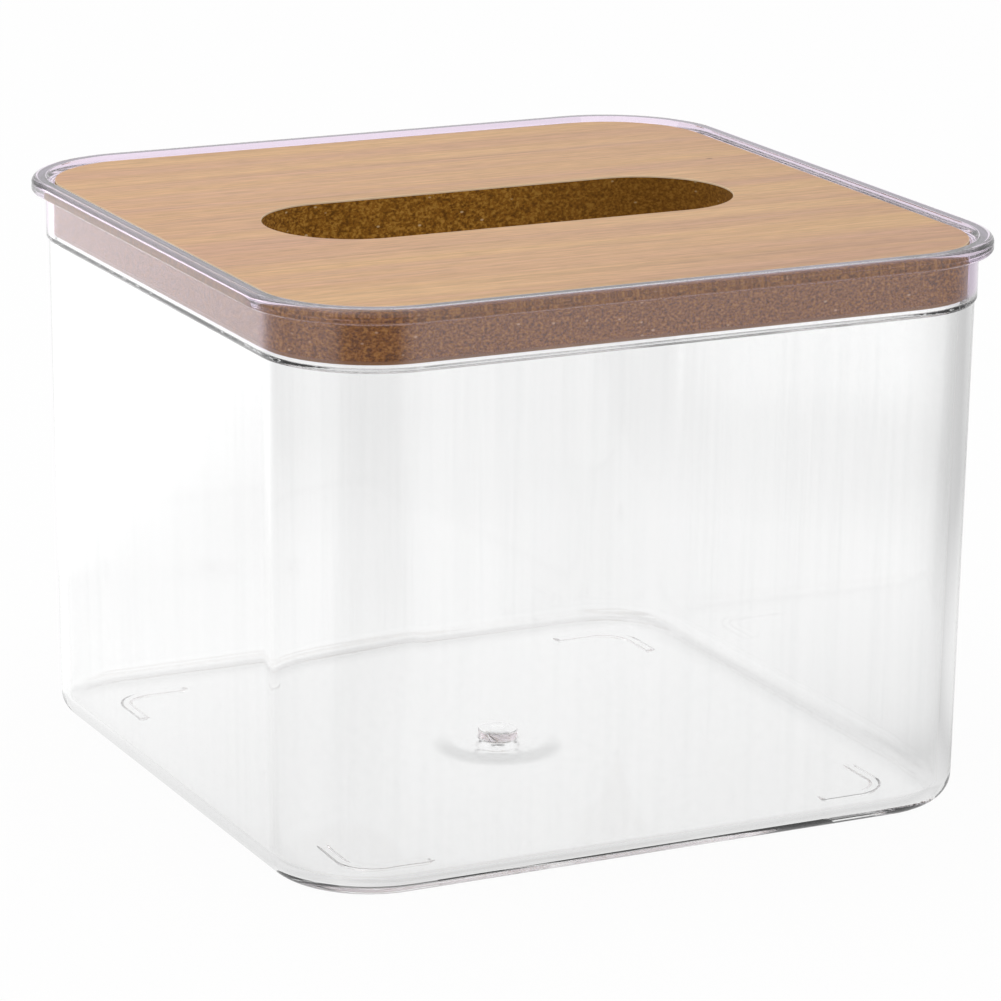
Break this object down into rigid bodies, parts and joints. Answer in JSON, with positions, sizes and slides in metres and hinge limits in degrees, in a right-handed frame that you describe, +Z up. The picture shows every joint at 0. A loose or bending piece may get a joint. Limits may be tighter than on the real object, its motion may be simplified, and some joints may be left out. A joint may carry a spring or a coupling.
{
  "type": "tissue box",
  "caption": "Clear square box for folded tissues or paper towels, with rounded corners and a flat wood-faced lid that lifts out and has a long slot to pull sheets through.",
  "frame": {"origin": "middle of the box's footprint, on the surface it stands on", "axes": "+Z up; X along the slot; the front faces -Y"},
  "size_m": [0.13, 0.13, 0.096],
  "materials": {
    "clear_plastic": "clear polished moulding",
    "fibre_board": "raw sawn fibre board",
    "wood_face": "satin straight-grained wood facing",
    "backing_sheet": "plain matte backing"
  },
  "bodies": {
    "box": {"clear_box": "clear_plastic"},
    "lid": {"lid_board": "fibre_board", "lid_face_sheet": "wood_face", "lid_back_sheet": "backing_sheet"}
  },
  "joints": [
    {"name": "lid_lift", "type": "slide", "parent": "box", "child": "lid", "axis": [0, 0, 1], "range_m": [0, 0.04]}
  ]
}
